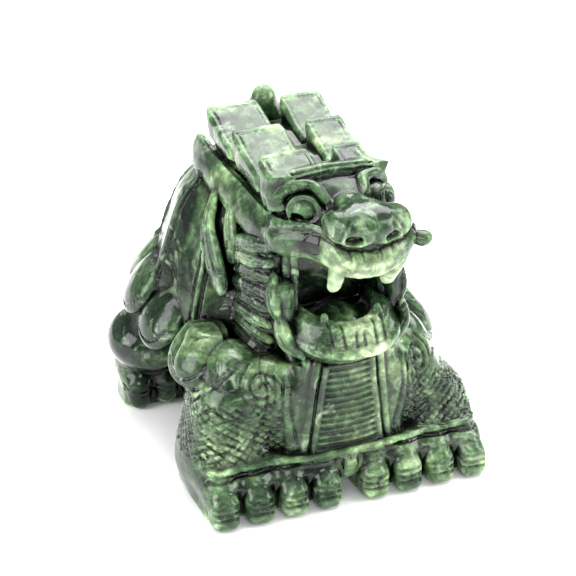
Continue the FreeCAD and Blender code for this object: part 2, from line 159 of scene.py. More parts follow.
def slab(centre, half, soft=1.0, turn=None):
    """A block with rounded edges."""
    centre, half = vec(*centre), vec(*half)
    reach = half if turn is None else np.abs(turn) @ half
    core = half - soft

    def field(x, y, z):
        q = [np.abs(p) - c for p, c in zip(local(x, y, z, centre, turn), core)]
        outside = np.sqrt(sum(np.maximum(p, 0) ** 2 for p in q))
        inside = np.minimum(np.maximum(np.maximum(q[0], q[1]), q[2]), 0)
        return outside + inside - soft
    return field, centre - reach, centre + reach


def rod(a, b, ra, rb, flat=None):
    """A round bar between two points.  flat = (direction, share) thins it along a direction."""
    a, b = vec(*a), vec(*b)
    big = max(ra, rb)
    ab = b - a
    length = float(ab @ ab) + 1e-9
    along = None if flat is None else vec(*flat[0]) / np.linalg.norm(flat[0])

    def field(x, y, z):
        px, py, pz = x - a[0], y - a[1], z - a[2]
        t = np.clip((px * ab[0] + py * ab[1] + pz * ab[2]) / length, 0, 1)
        qx, qy, qz = px - t * ab[0], py - t * ab[1], pz - t * ab[2]
        if along is None:
            return np.sqrt(qx * qx + qy * qy + qz * qz) - (ra + t * (rb - ra))
        share = flat[1]
        d = qx * along[0] + qy * along[1] + qz * along[2]
        more = (1 / (share * share) - 1) * d * d
        size = ra + t * (rb - ra)
        return (np.sqrt(qx * qx + qy * qy + qz * qz + more) - size) * (0.5 + 0.5 * share)
    return field, np.minimum(a, b) - big, np.maximum(a, b) + big


def chain(points, radii, flat=None):
    """Bars through a row of points."""
    radii = np.broadcast_to(np.asarray(radii, float), (len(points),))
    return [rod(points[i], points[i + 1], radii[i], radii[i + 1], flat) for i in range(len(points) - 1)]


def ring(centre, direction, radius, thick):
    """A round bar bent into a circle that faces a direction."""
    centre, turn = vec(*centre), frame_of(direction)
    reach = radius + thick

    def field(x, y, z):
        u, v, w = local(x, y, z, centre, turn)
        return np.sqrt((np.sqrt(u * u + v * v) - radius) ** 2 + w * w) - thick
    return field, centre - reach, centre + reach


def plank(outline, axis, low, high, soft=0.8):
    """A closed outline in the plane across an axis, drawn out along it, with rounded edges."""
    pts = np.asarray(outline, float)
    others = [a for a in range(3) if a != axis]
    middle, half = (low + high) / 2, (high - low) / 2 - soft
    lo, hi = np.zeros(3), np.zeros(3)
    lo[axis], hi[axis] = low, high
    for n, a in enumerate(others):
        lo[a], hi[a] = pts[:, n].min(), pts[:, n].max()

    def field(x, y, z):
        c = (x, y, z)
        u, v = c[others[0]], c[others[1]]
        near, sign = None, 1.0
        for i in range(len(pts)):
            (ax, ay), (bx, by) = pts[i], pts[i - 1]
            ex, ey = bx - ax, by - ay
            wx, wy = u - ax, v - ay
            t = np.clip((wx * ex + wy * ey) / (ex * ex + ey * ey), 0, 1)
            d = (wx - ex * t) ** 2 + (wy - ey * t) ** 2
            near = d if near is None else np.minimum(near, d)
            up, down, left = v >= ay, v < by, ex * wy > ey * wx
            flip = (up & down & left) | (~up & ~down & ~left)
            sign = np.where(flip, -sign, sign)
        flat = sign * np.sqrt(near) + soft
        deep = np.abs(c[axis] - middle) - half
        outside = np.sqrt(np.maximum(flat, 0) ** 2 + np.maximum(deep, 0) ** 2)
        return np.minimum(np.maximum(flat, deep), 0) + outside - soft
    return field, lo, hi


def smooth_path(points, per=6):
    """A Catmull-Rom curve through a few points."""
    p = np.asarray(points, float)
    p = np.vstack([2 * p[0] - p[1], p, 2 * p[-1] - p[-2]])
    out = []
    for i in range(1, len(p) - 2):
        for t in np.arange(per) / per:
            out.append(0.5 * ((2 * p[i]) + (p[i + 1] - p[i - 1]) * t
                              + (2 * p[i - 1] - 5 * p[i] + 4 * p[i + 1] - p[i + 2]) * t * t
                              + (3 * p[i] - p[i - 1] - 3 * p[i + 1] + p[i + 2]) * t ** 3))
    out.append(p[-2])
    return np.array(out)


# ---- zones

zones = {}


class Zone:
    """The field of one node, on the part of the grid around it."""

    def __init__(self, node, pad=PAD):
        low, high = mm(node)
        self.first, self.last = window(low - pad, high + pad)
        self.d = np.full(self.last - self.first, FAR, np.float32)
        zones[node] = self

    def part(self, low, high, margin):
        first, last = window(low - margin, high + margin)
        first, last = np.maximum(first, self.first), np.minimum(last, self.last)
        if (last <= first).any():
            return None, None
        cut = tuple(slice(a - o, b - o) for a, b, o in zip(first, last, self.first))
        return cut, coordinates(first, last)

    def add(self, shape, k=0.0):
        for field, low, high in (shape if isinstance(shape, list) else [shape]):
            cut, xyz = self.part(low, high, 3.0 + k)
            if cut:
                self.d[cut] = join(self.d[cut], field(*xyz), k)

    def cut(self, shape, k=0.0):
        for field, low, high in (shape if isinstance(shape, list) else [shape]):
            cut, xyz = self.part(low, high, 0.5 + k)
            if cut:
                self.d[cut] = remove(self.d[cut], field(*xyz), k)

    def relief(self, height, low, high):
        """Raise the surface by a height that is a function of place."""
        cut, xyz = self.part(vec(*low), vec(*high), 0.0)
        if cut:
            self.d[cut] = self.d[cut] - height(*xyz)


def bump(t):
    """A smooth hill of height one and half width one."""
    return np.exp(-np.square(t) * 2.0)


def fade(t, a, b):
    """Zero below a, one above b, smooth between."""
    s = np.clip((t - a) / (b - a), 0, 1)
    return s * s * (3 - 2 * s)


def begin(node):
    """A node's corners and middle, and a new zone for it."""
    low, high = mm(node)
    return low, high, (low + high) / 2, Zone(node)


# ---- strokes: cut or raised once the skin is whole

strokes = []


def groove(path, radius, direction=None, *reach):
    """A carved line.  With a direction, its points first move that way until they meet the skin."""
    strokes.append((remove, path, radius, direction, *reach))


def raised_line(path, radius, direction, *reach):
    strokes.append((join, path, radius, direction, *reach))


# ---- the body

def sculpt_feet():
    lo, hi = mm("fore_foot_left")
    toes_lo, toes_hi = mm("fore_toes_left")
    foot = Zone("fore_foot_left")
    mid = (lo + hi) / 2
    foot.add(slab((mid[0], mid[1] - 1.0, 5.0), (mid[0] - lo[0], mid[1] - lo[1] + 1.0, 7.2), 3.0))
    foot.add(ball((mid[0] + 3.0, mid[1] + 2.0, 9.0), (17.0, 12.5, 9.5)), 5.0)
    toes = Zone("fore_toes_left")
    pitch = (toes_hi[0] - toes_lo[0] - 7.6) / 3
    for n in range(4):
        x = toes_lo[0] + 3.8 + n * pitch
        lean = (n - 1.5) * 0.35
        front = toes_lo[1]
        toes.add(slab((x + lean * 0.4, front + 4.1, 4.3), (3.75, 4.0, 4.3), 2.7, spun(-9, 0, 0)))
        toes.add(rod((x - lean, front + 11.0, 10.2), (x, front + 5.4, 6.8), 4.2, 4.1), 1.5)
        foot.add(rod((x - lean * 2, lo[1] + 11.0, 12.0), (x - lean * 0.5, lo[1] - 0.6, 9.0), 5.0, 4.4), 3.5)
        across = np.linspace(-3.6, 3.6, 7) + x + lean * 0.4
        for z in (7.4, 5.7, 4.1):
            line = np.column_stack([across, np.full(7, -60.0), z - 0.035 * np.square(across - x)])
            groove(line, 0.42, REARWARD, 24.0)
    lo, hi, mid, hind = begin("hind_foot_left")
    hind.add(slab((mid[0], mid[1] + 1.5, 5.2), (mid[0] - lo[0], mid[1] - lo[1] - 1.5, 7.6), 3.6))
    for n in range(3):
        x = lo[0] + 4.0 + n * 8.0
        hind.add(rod((x, lo[1] + 7.5, 8.5), (x, lo[1] + 4.2, 7.4), 4.3, 3.9), 1.2)
        hind.add(rod((x, lo[1] + 4.2, 7.4), (x, lo[1] + 3.4, 3.0), 3.9, 3.2), 0.8)
        for z in (7.4, 5.8):
            hind.cut(ring((x, lo[1] + 4.0, z), (0, -0.2, 1), 4.0, 0.4), 0.25)


def sculpt_legs():
    lo, hi, mid, leg = begin("fore_leg_left")
    leg.add(slab((mid[0] - 1.0, mid[1] + 0.5, 20.0), (10.4, 11.6, 12.0), 7.5))
    leg.add(ball((mid[0] - 3.4, mid[1] + 0.6, 32.5), (9.0, 12.0, 11.5)), 8.0)
    leg.add(ball((mid[0] + 0.2, mid[1] + 0.8, 16.0), (10.4, 13.2, 9.0)), 5.0)
    lo, hi, mid, leg = begin("hind_leg_left")
    leg.add(ball((mid[0] - 0.8, mid[1] - 1.0, mid[2] - 3.0), (12.6, 12.6, 9.6)))
    leg.add(ball((mid[0] - 3.0, mid[1] + 4.0, 13.0), (11.5, 9.5, 10.0)), 3.0)
    tail = Zone("tail")
    y = mm("tail")[1][1]
    tail.add(chain(smooth_path([(0, y - 9, 40), (0, y - 5.4, 33), (0, y - 5.0, 26), (0, y - 6.5, 19.5)]),
                   np.linspace(5.5, 4.2, 19)), 1.0)
    for x, lean in ((2.6, 0.8), (5.4, 2.6)):
        tail.add(chain(smooth_path([(x, y - 6.5, 42), (x + 0.4 * lean, y - 3.4, 33), (x + lean, y - 3.6, 25),
                                    (x + 1.7 * lean, y - 7.0, 17.5)]), np.linspace(2.2, 1.1, 19)), 0.5)


def sculpt_body():
    lo, hi, mid, torso = begin("torso")
    half = (hi[0] + 1.0, mid[1] - lo[1] + 0.5, mid[2] - lo[2] + 3.0)
    torso.add(slab((0, mid[1] + 1.0, mid[2] + 1.0), half, 6.0))
    torso.add(ball((14.5, lo[1] + 6.0, lo[2] + 14.0), (9.0, 7.6, 15.0)), 4.0)
    lo, hi = mm("plastron")
    plate = Zone("plastron")
    outline = [(-2, lo[1]), (9, lo[1] + 0.4), (19, lo[1] + 2.2), (28, lo[1] + 5.0), (hi[0] + 1.6, lo[1] + 9.0),
               (hi[0] + 2.0, lo[1] + 22), (hi[0], lo[1] + 32), (24, lo[1] + 40), (22, hi[1]), (-2, hi[1])]
    plate.add(plank(outline, 2, lo[2] + 0.4, hi[2], 1.0))
    plate.relief(lambda x, y, z: 0.45 * bump((z - hi[2] + 0.3) / 0.8) * fade(-y, -lo[1] - 6.0, -lo[1]),
                 lo - 3, hi + 3)
    lo, hi, mid, boss = begin("plastron_boss")
    boss.add(ball((0, mid[1] - 2.2, hi[2] - 2.4), (4.3, 4.6, 5.4)))
    boss.add(rod((0, mid[1] + 3, hi[2] - 1), (0, hi[1] + 9, hi[2] - 1), 4.5, 6.0), 2.0)
    for x in (0.0, 2.3):
        line = [(x, lo[1] - 0.4, hi[2] + 1), (x * 0.9, lo[1] - 0.2, hi[2] - 3),
                (x * 0.6, lo[1] + 1.5, hi[2] - 6.6)]
        boss.cut(chain(line, 0.45), 0.3)


def sculpt_chest():
    lo, hi = mm("chest_plate")
    chest = Zone("chest_plate")
    top, wide = 7.4, hi[0] - 0.8
    face = lo[1]
    chest.add(plank([(-3, lo[2] - 1), (wide, lo[2] - 1), (top, hi[2]), (-3, hi[2])], 1, face, hi[1] + 4, 0.7))
    rise = hi[2] - lo[2]
    ribs = 12
    for n in range(ribs + 1):
        z = lo[2] + 1.6 + n * (rise - 3.0) / ribs
        reach = wide - 2.2 + (top - wide) * (z - lo[2]) / rise
        sag = 0.5
        points = [(0, face - 0.1, z - sag), (reach * 0.6, face - 0.1, z - sag * 0.6), (reach, face + 0.15, z)]
        chest.cut(chain(points, 0.42), 0.3)
    for off, size, out in ((-1.7, 0.42, -0.05), (0.15, 0.45, 0.1)):
        size *= 0.7
        chest.cut(rod((wide + off, face + out, lo[2]), (top + off, face + out, hi[2]), size, size), 0.3)
    chest.add(rod((wide + 1.5, face + 1.6, lo[2] - 0.5), (top + 1.5, face + 1.4, hi[2] + 0.5), 1.3, 1.2), 0.3)
    chest.add(rod((wide + 3.6, face + 2.6, lo[2]), (top + 3.8, face + 2.4, hi[2] + 1.0), 1.4, 1.2), 0.6)
    backing = [(-3, lo[2] - 1), (wide + 6, lo[2] - 1), (top + 6, hi[2] + 1), (-3, hi[2] + 1)]
    zones["torso"].add(plank(backing, 1, face + 1.6, face + 8, 1.0), 1.5)


# ---- the shell

def dome_point(centre, radii, around, up):
    """A point on the dome: degrees around from +X towards the front, and a share of the height."""
    a = math.radians(around)
    s = math.sqrt(max(0.0, 1 - up * up))
    return centre + radii * vec(math.cos(a) * s, -math.sin(a) * s, up)


# for each scute, front to rear: how far its seat is raised and set back, and its size
SCUTE_SEATS = ((4.5, 4.6, 0.84), (2.6, 2.2, 1.0), (2.2, 2.0, 1.0), (4.4, 1.8, 1.0), (3.4, 1.6, 1.0),
               (2.5, 2.0, 1.0))


def sculpt_shell():
    lo, hi = mm("carapace")
    centre = vec(0, hi[1] - 34.0, lo[2])
    radii = vec(37.0, 34.0, hi[2] - lo[2])
    shell = Zone("carapace")
    shell.add(ball(centre, radii - 0.3))
    shell.cut(slab((0, centre[1], centre[2] - 15.0), (60, 60, 14.0), 1.0), 3.0)
    # flat plates between raised lines that run down from the spine
    turns = (-72, -36, 0, 32, 58, 84)
    lines = []
    for around in turns:
        lines.append([(around, 0.10), (around + 1, 0.4), (around, 0.62), (around - 2, 0.84)])
    for a, b in zip(turns[:-1], turns[1:]):
        middle = (a + b) / 2
        lines.append([(a, 0.10), (middle, -0.03)])
        lines.append([(middle, -0.03), (b, 0.10)])
        lines.append([(a - 2, 0.84), (middle, 0.90), (b - 2, 0.84)])
        for up, depth in ((0.42, 1.9), (0.80, 1.0)):
            p = dome_point(centre, radii, middle, up)
            out = (p - centre) / np.square(radii)
            out /= np.linalg.norm(out)
            shell.cut(slab(p + out * (8.0 - depth), (30, 30, 8.0), 0.5, frame_of(out)), 0.8)
    for line in lines:
        path = smooth_path([dome_point(centre, radii, a, u) for a, u in line], 6)
        out = (path - centre) / np.square(radii)
        side = np.cross(np.gradient(path, axis=0), out)
        side /= np.linalg.norm(side, axis=1, keepdims=True)
        out /= np.linalg.norm(out, axis=1, keepdims=True)
        raised_line(path + out * 1.6, 0.62, -out, 4.0)
        groove(path + side * 1.2 + out * 1.6, 0.5, -out, 4.0)
        groove(path - side * 1.2 + out * 1.6, 0.5, -out, 4.0)
    for n in range(1, 7):
        lo, hi = mm("marginal_scute_left_%d" % n)
        lobe = Zone("marginal_scute_left_%d" % n)
        mid = (lo + hi) / 2
        out = mid - vec(0, centre[1], mid[2])
        out /= np.linalg.norm(out)
        face = out * math.cos(math.radians(34)) + vec(0, 0, math.sin(math.radians(34)))
        turn = frame_of(face)
        rise, back, size = SCUTE_SEATS[n - 1]
        seat = mid - out * back + vec(0, 0, rise)
        lobe.add(ball(seat, (8.6 * size, 9.4 * size, 3.7), turn))
        lobe.add(ball(seat - out * 4.6 + vec(0, 0, 3.6), (8.4 * size, 8.0 * size, 4.2), turn), 1.5)
        down, side = -turn[:, 1], turn[:, 0]
        rim = [seat + side * 7.2 * math.cos(t) + down * 7.6 * math.sin(t) + face * 8.0
               for t in np.linspace(0.25, math.pi - 0.25, 12)]
        groove(np.array(rim), 0.42, -face)


# ---- neck and mane

def sculpt_neck():
    lo, hi = mm("neck")
    neck = Zone("neck")
    outline = [(lo[1] + 1, lo[2] - 2), (hi[1], lo[2] - 2), (hi[1], hi[2] + 4), (lo[1] + 14, hi[2] + 4),
               (lo[1] + 12.5, 62), (lo[1] + 12.0, 52), (lo[1] + 6, 46), (lo[1], 42)]
    neck.add(plank(outline, 0, -hi[0], hi[0], 2.5))
    lo, hi, mid, mane = begin("mane_left")
    half = (3.6, mid[1] - lo[1] - 0.5, mid[2] - lo[2] + 1)
    mane.add(slab((mid[0] - 2.3, mid[1] + 0.5, mid[2] + 1), half, 2.5))
    rows = 9
    for n in range(rows):
        z = lo[2] + 2.0 + n * (hi[2] - lo[2]) / (rows - 1)
        bulge = 0.8 * (n % 2)
        rise = n / (rows - 1)
        path = smooth_path([(hi[0] - 3.6, lo[1] + 0.5, z + 3.0 * rise - 1.6),
                            (hi[0] - 1.6 + bulge * 0.4, lo[1] + 5.5, z + 0.4),
                            (hi[0] - 0.9 + bulge * 0.5, lo[1] + 12.0, z - 2.2 * rise + 0.6),
                            (hi[0] - 1.6, hi[1] + 0.5, z - 6.0 * rise - 1.0)], 4)
        radii = np.interp(np.linspace(0, 1, len(path)), (0, 0.3, 0.75, 1), (1.2, 2.3, 2.3, 0.9))
        mane.add(chain(path, radii), 0.25)
        for shift, first_point in ((-0.9, 2), (0.1, 0), (1.0, 3)):
            groove(path[first_point:] + vec(6, 0, shift), 0.3, INWARD)
    lo, hi = mm("mane_locks_left")
    locks = Zone("mane_locks_left")
    for top, mid_p, low, wide in (((20.6, 5.0, 76.0), (25.0, -0.4, 67.0), (24.8, -8.4, 55.5), 4.6),
                                  ((19.2, -4.0, 76.0), (21.0, -6.5, 71.0), (21.4, -9.6, 64.0), 3.8)):
        path = smooth_path([top, mid_p, low], 7)
        share = np.linspace(0, 1, len(path))
        radii = wide * np.interp(share, (0, 0.3, 0.8, 1), (0.35, 0.62, 1.0, 0.9))
        locks.add(chain(path, radii, ((1, 0, 0.15), 0.42)), 0.4)
        inner = path[2:-2]
        for shift in (-0.66, 0.0, 0.66):
            groove(inner + vec(6, 0, 0) + np.outer(radii[2:-2], (0, shift, 0)), 0.4, INWARD)


# ---- the head

def sculpt_crest():
    for n in range(1, 4):
        lo, hi = mm("crest_block_left_%d" % n)
        top = hi[2] + 0.8
        length = hi[1] - lo[1]
        drop = 5.6 if length > 12 else 2.8
        block = Zone("crest_block_left_%d" % n)
        front = lo[1] - (0.6 if n < 3 else 0.0)
        outline = [(hi[1], top), (front, top - drop), (front + 2.0, lo[2] - 3), (hi[1] - 5.0, lo[2] - 3)]
        block.add(plank(outline, 0, lo[0] - 0.9, hi[0] + 1.2, 1.7))
        block.cut(slab((hi[0] + 5.2, (lo[1] + hi[1]) / 2, lo[2] - 1.5), (5, 14, 7), 0.5, spun(0, 32, 0)), 2.0)
        tilt = drop / (hi[1] - front)
        inner, outer, rear = lo[0] + 0.6, hi[0] - 0.4, hi[1] - 1.9
        corners = [(inner, front + 3), (inner, rear), (outer, rear), (outer, front + 3)]
        rows = [np.linspace(a, b, 8) for a, b in zip(corners[:-1], corners[1:])]
        rows = np.concatenate(rows)
        groove(np.column_stack([rows, top - tilt * (hi[1] - rows[:, 1]) + 0.15]), 0.34, None)
        root = smooth_path([(hi[0] - 1.6, hi[1] - 4.0, top - 4.5), (hi[0] - 1.8, hi[1] - 8.5, lo[2] + 1.0),
                            (hi[0] - 2.6, hi[1] - 13.0, lo[2] - 4.5)], 4)
        block.add(chain(root, np.linspace(3.2, 1.0, len(root)), ((1, 0, 0), 0.7)), 1.2)
        edge = root + vec(0.6, 3.0, 0.4)
        block.add(chain(edge, np.linspace(1.1, 0.6, len(edge))), 0.3)
    lo, hi, mid, knob = begin("crest_knob")
    knob.add(ball((0, mid[1], hi[2] - 4.6), (3.7, 3.6, 4.6)))
    knob.add(ball((0, mid[1] + 1.5, hi[2] - 10), (6.6, 4.0, 6.0)), 2.0)


def sculpt_skull():
    lo, hi, mid, skull = begin("skull")
    skull.add(slab((0, mid[1], mid[2]), (12.6, mid[1] - lo[1], mid[2] - lo[2] + 1.0), 2.0))
    block_hi = mm("crest_block_left_1")[1]
    for n in range(3):
        rear = block_hi[1] - 3.0 - n * 18.4
        long = 17.0 if n < 2 else 7.0
        front = rear - long
        outline = [(rear, block_hi[2] - 3.0), (front, block_hi[2] - 7.0), (front, lo[2]), (rear, lo[2])]
        skull.add(plank(outline, 0, -3.6, 3.6, 1.0), 0.3)
        skull.cut(rod((0, rear + 0.5, block_hi[2] - 2.6), (0, rear - long, block_hi[2] - 6.8), 0.7, 0.7), 0.4)
    lo, hi = mm("horn_left")
    horn = Zone("horn_left")
    lean = ((0.9, 0, 0.42), 0.32)
    path = smooth_path([(19.4, hi[1] - 4.0, hi[2] - 0.2), (19.0, hi[1] - 14, hi[2] - 1.6),
                        (17.8, -6, hi[2] - 4.0), (16.6, -20, hi[2] - 5.0), (15.0, -32, hi[2] - 4.2)], 4)
    radii = np.interp(np.linspace(0, 1, len(path)), (0, 0.12, 0.7, 1), (4.0, 5.2, 5.2, 4.4))
    horn.add(chain(path, radii, lean), 0.5)
    edge = path + vec(1.9, 0, -4.0)
    horn.add(chain(edge, 0.55), 0.4)
    zones["carapace"].cut(chain(path[:9] + vec(2.2, 0, 0.5), 4.4), 1.5)
    groove(path[1:] + vec(-1.9, 0, 4.6), 1.5, None)


def sculpt_face():
    lo, hi = mm("brow")
    brow = Zone("brow")
    back = hi[1]
    brow.add(ball((0, back + 2.0, 82.0), (14.2, 12.4, 8.6)))
    fore = [(back + 2, 80), (back + 2, 90.0), (back - 1.0, 90.4), (back - 2.6, 89.6), (back - 10.6, 85.2),
            (back - 12.0, 81), (back - 9, 79)]
    brow.add(plank(fore, 0, -6.2, 6.2, 0.8), 1.2)
    ledge = smooth_path([(15.4, back + 3.4, 82.5), (15.0, back + 2.0, 87.2), (9.5, back - 1.0, 90.2),
                         (0, back - 1.8, 91.0)], 5)
    brow.add(chain(ledge, np.linspace(1.2, 1.9, len(ledge))), 1.0)
    groove(ledge + vec(0.2, -1.2, 1.4), 0.32, None)
    groove(ledge + vec(0.5, -1.9, 0.2), 0.32, None)
    arch = smooth_path([(15.0, back + 1.0, 81.0), (14.6, back - 0.6, 85.4), (11.6, back - 2.6, 88.4),
                        (7.0, back - 5.0, 89.0), (5.6, back - 9.0, 86.4)], 5)
    brow.add(chain(arch, np.interp(np.linspace(0, 1, len(arch)), (0, 0.5, 1), (1.2, 1.6, 1.1))), 0.7)
    lo, hi = mm("eye_left")
    mid = (lo + hi) / 2
    gaze = vec(0.62, -0.74, 0.26)
    mid = vec(10.0, mid[1], 83.2) + gaze * 1.3
    brow.cut(ball(mid + gaze * 3.2, (4.4, 4.4, 4.4)), 0.8)
    eye = Zone("eye_left")
    eye.add(ball(mid + gaze * 0.2, (2.9, 2.9, 2.9)))
    eye.add(ring(mid + gaze * 1.5, gaze, 3.5, 0.6), 0.2)
    eye.add(ball(mid - gaze * 2.2, (4.6, 4.6, 4.6)), 0.3)
    muzzle = Zone("muzzle")
    front = mm("muzzle")[0][1]
    muzzle.add(ball((0, front + 11.0, 77.5), (14.8, 14.0, 7.4)))
    muzzle.add(ball((0, front + 7.0, 79.0), (13.0, 9.4, 3.6)), 1.0)
    muzzle.add(ball((12.4, front + 12.5, 76.8), (5.2, 9.0, 4.4)), 1.5)
    muzzle.cut(ball(mid + gaze * 3.0, (4.5, 4.5, 4.5)), 0.8)
    muzzle.cut(ball((0, front + 13.0, 66.0), (10.5, 15.5, 7.5)), 1.5)
    lo, hi = mm("nose")
    nose = Zone("nose")
    tip = lo[1]
    nose.add(ball((0, tip + 6.8, 83.8), (10.6, 6.6, 4.7)))
    nose.add(rod((0, tip + 14.0, 85.0), (0, tip + 7.0, 85.0), 4.6, 4.8, ((0, 0, 1), 0.75)), 2.0)
    nose.add(ball((9.0, tip + 8.0, 82.4), (3.6, 4.8, 3.9)), 2.0)
    nose.add(ball((3.6, tip + 4.6, 81.2), (5.4, 4.0, 2.2)), 1.2)
    nose.cut(ball((5.4, tip + 1.9, 81.2), (2.5, 2.6, 1.5), spun(0, 14, 0)), 0.9)
    crease = smooth_path([(6.2, tip + 2.2, 86.5), (5.6, tip + 1.4, 84.2), (7.4, tip + 2.0, 82.0)], 4)
    nose.cut(chain(crease, 0.55), 0.5)
    groove(smooth_path([(9.0, -56, 80.6), (8.2, -56, 83.6), (6.0, -56, 86.6)], 4), 0.5, REARWARD, 26.0)
    nose.cut(rod((0, tip - 0.4, 84.5), (0, tip + 1.0, 79.0), 0.5, 0.7), 0.6)


def lip_line(half, deep, rear, share, power=2.4):
    """A point on the mouth's plan outline: 0 at the rear corner, 1 at the front middle."""
    t = share * math.pi / 2
    c, s = math.cos(t), math.sin(t)
    return half * c ** (2 / power), rear - deep * s ** (2 / power)


def sculpt_lips():
    lo, hi = mm("upper_lip")
    lip = Zone("upper_lip")
    half, front = hi[0] - 1.4, lo[1] + 2.0
    rear = -27.0
    deep = rear - front
    body, upper, lower = [], [], []
    for share in np.linspace(0.0, 1.0, 15):
        x, y = lip_line(half, deep, rear, share)
        wave = 1.5 * math.sin(share * math.pi) - 1.0 * share
        body.append((x, y, 75.0 + wave))
        upper.append((x * 1.02, y + 0.4, 79.0 + 0.6 * wave))
        lower.append((x * 1.02, y - 0.6, 72.6 + 1.1 * wave))
    lip.add(chain(body, 3.4), 0.5)
    lip.add(chain(lower, np.interp(np.linspace(0, 1, 15), (0, 0.4, 1), (1.2, 1.9, 2.0))), 1.0)
    lip.add(chain(upper, np.interp(np.linspace(0, 1, 15), (0, 0.4, 1), (1.6, 1.6, 1.3))), 0.5)
    for share in (0.80, 0.93):
        x, y = lip_line(half, deep, rear, share)
        line = smooth_path([(x * 0.98, -54, 79.0), (x * 1.02, -54, 77.0), (x * 0.98, -54, 75.6)], 3)
        groove(line, 0.32, REARWARD, 24.0)
    lo, hi, mid, curl = begin("lip_whisker_left")
    curl.add(ball(mid + vec(0, 0, 0.2), (3.5, 3.0, 2.5)))
    curl.add(rod((14.0, front + 5.0, 77.5), mid, 2.2, 2.6), 1.0)
    fangs_lo, fangs_hi = mm("upper_fangs")
    fang = Zone("upper_fangs")
    x = fangs_hi[0] - 2.4
    y = (fangs_lo[1] + fangs_hi[1]) / 2
    fang.add(rod((x, y, fangs_hi[2] + 1.0), (x - 0.6, y + 0.3, fangs_lo[2] + 2.0), 3.3, 2.0))


def sculpt_jaw():
    lo, hi = mm("lower_jaw")
    jaw = Zone("lower_jaw")
    rim_z = hi[2]
    rear = hi[1] + 1.0
    deep = rear - lo[1]
    centre = vec(0, rear, rim_z + 1.0)
    jaw.add(ball(centre, (hi[0] + 0.5, deep + 0.3, 12.0)))
    jaw.cut(ball(centre + vec(0, 0, 1.5), (hi[0] - 4.0, deep - 4.5, 9.0)), 1.0)
    jaw.cut(slab(centre + vec(0, -5, 9.2), (30, 30, 9.0), 0.5), 1.2)
    jaw.add(ball((0, -30.5, 46.5), (13.5, 12.0, 7.0)), 2.5)
    band = []
    for share in np.linspace(0.0, 1.0, 15):
        x, y = lip_line(hi[0] + 0.2, deep + 0.4, rear, share)
        band.append((x, y, 48.6 + 2.4 * (1 - share) ** 2))
    jaw.add(chain(band, 1.9), 0.8)
    gum = []
    for share in np.linspace(0.0, 1.0, 13):
        x, y = lip_line(hi[0] - 3.0, deep - 3.4, rear, share)
        gum.append((x, y, rim_z + 0.4 - 1.6 * share))
    jaw.add(chain(gum, 2.2), 0.8)
    wall = [(x * 1.05, y - 0.9, 51.0) for x, y, z in gum]
    jaw.add(chain(wall, 2.7), 1.5)
    for share in (0.70, 0.84, 0.97):
        x, y = lip_line(hi[0] - 1.0, deep - 0.8, rear, share)
        groove(np.array([(x, -54, z) for z in np.linspace(55.5, 50.5, 5)]), 0.4, REARWARD, 24.0)
    teeth = Zone("lower_teeth")
    for share, tall, thick in ((0.62, 3.6, 1.8), (0.82, 1.2, 2.3), (0.99, 0.8, 2.2)):
        x, y = lip_line(hi[0] - 2.6, deep - 3.0, rear, share)
        x = max(x, 1.9)
        teeth.add(rod((x, y, rim_z - 2.0), (x * 0.96, y + 0.4, rim_z + tall - 1.0), thick, thick * 0.55), 0.2)
    tongue_lo, tongue_hi = mm("tongue")
    mid = (tongue_lo + tongue_hi) / 2
    tongue = Zone("tongue")
    tongue.add(ball(mid + vec(0, 2.0, -1.5), (5.6, 8.5, 3.4)))
    tongue.cut(rod((0, tongue_lo[1], mid[2] + 1.6), (0, tongue_hi[1], mid[2] + 2.4), 0.6, 0.6), 0.5)
    lo, hi, mid, web = begin("jaw_web_left")
    mid = vec(11.6, mid[1], mid[2])
    web.add(slab((mid[0] + 0.9, mid[1] + 3.0, mid[2]), (2.0, 4.6, mid[2] - lo[2] + 2.0), 1.0))
    for n in range(4):
        y = lo[1] + 1.0 + n * 2.3
        bend = 1.5 - 0.3 * n
        web.add(chain(smooth_path([(mid[0] + 1.2, y + 1.0, hi[2] + 1.5), (mid[0] + 0.2, y + bend, mid[2]),
                                   (mid[0] + 1.4, y - 0.6, lo[2] - 1.0)], 4), 1.0), 0.3)
    lo, hi = mm("cheek_leaves_left")
    leaves = Zone("cheek_leaves_left")
    leaves.add(slab((14.6, -29.6, 55.5), (2.6, 4.2, 8.5), 2.2, spun(0, 0, 24)), 0.5)
    for (a, b, c, wide) in (((16.8, -27.8, 64.0), (17.9, -30.2, 58.5), (16.2, -31.6, 53.5), 4.0),
                            ((16.6, -31.0, 55.0), (16.4, -34.4, 50.0), (13.2, -38.0, 46.0), 4.0)):
        path = smooth_path([a, b, c], 6)
        radii = wide * np.interp(np.linspace(0, 1, len(path)), (0, 0.45, 1), (0.45, 1.0, 0.35))
        leaves.add(chain(path, radii, ((1, 0, 0), 0.5)), 0.4)
        for shift in (-0.45, 0.45):
            groove(path[1:-1] + vec(5, 0, 0) + np.outer(radii[1:-1], (0, shift, 0)), 0.34, INWARD)


# ---- assembly of the common skin

sculpt_body()
sculpt_feet()
sculpt_legs()
sculpt_chest()
sculpt_shell()
sculpt_neck()
sculpt_crest()
sculpt_skull()
sculpt_face()
sculpt_lips()
sculpt_jaw()

BLEND = {"fore_leg_left": 5.0, "hind_leg_left": 3.0, "hind_foot_left": 2.0, "fore_foot_left": 3.0, "torso": 3.0,
         "neck": 2.0, "muzzle": 2.0, "brow": 1.5, "nose": 1.2, "skull": 1.0, "tail": 1.5, "plastron_boss": 1.5,
         "carapace": 1.5, "mane_left": 1.2, "lower_jaw": 1.0, "chest_plate": 0.6}

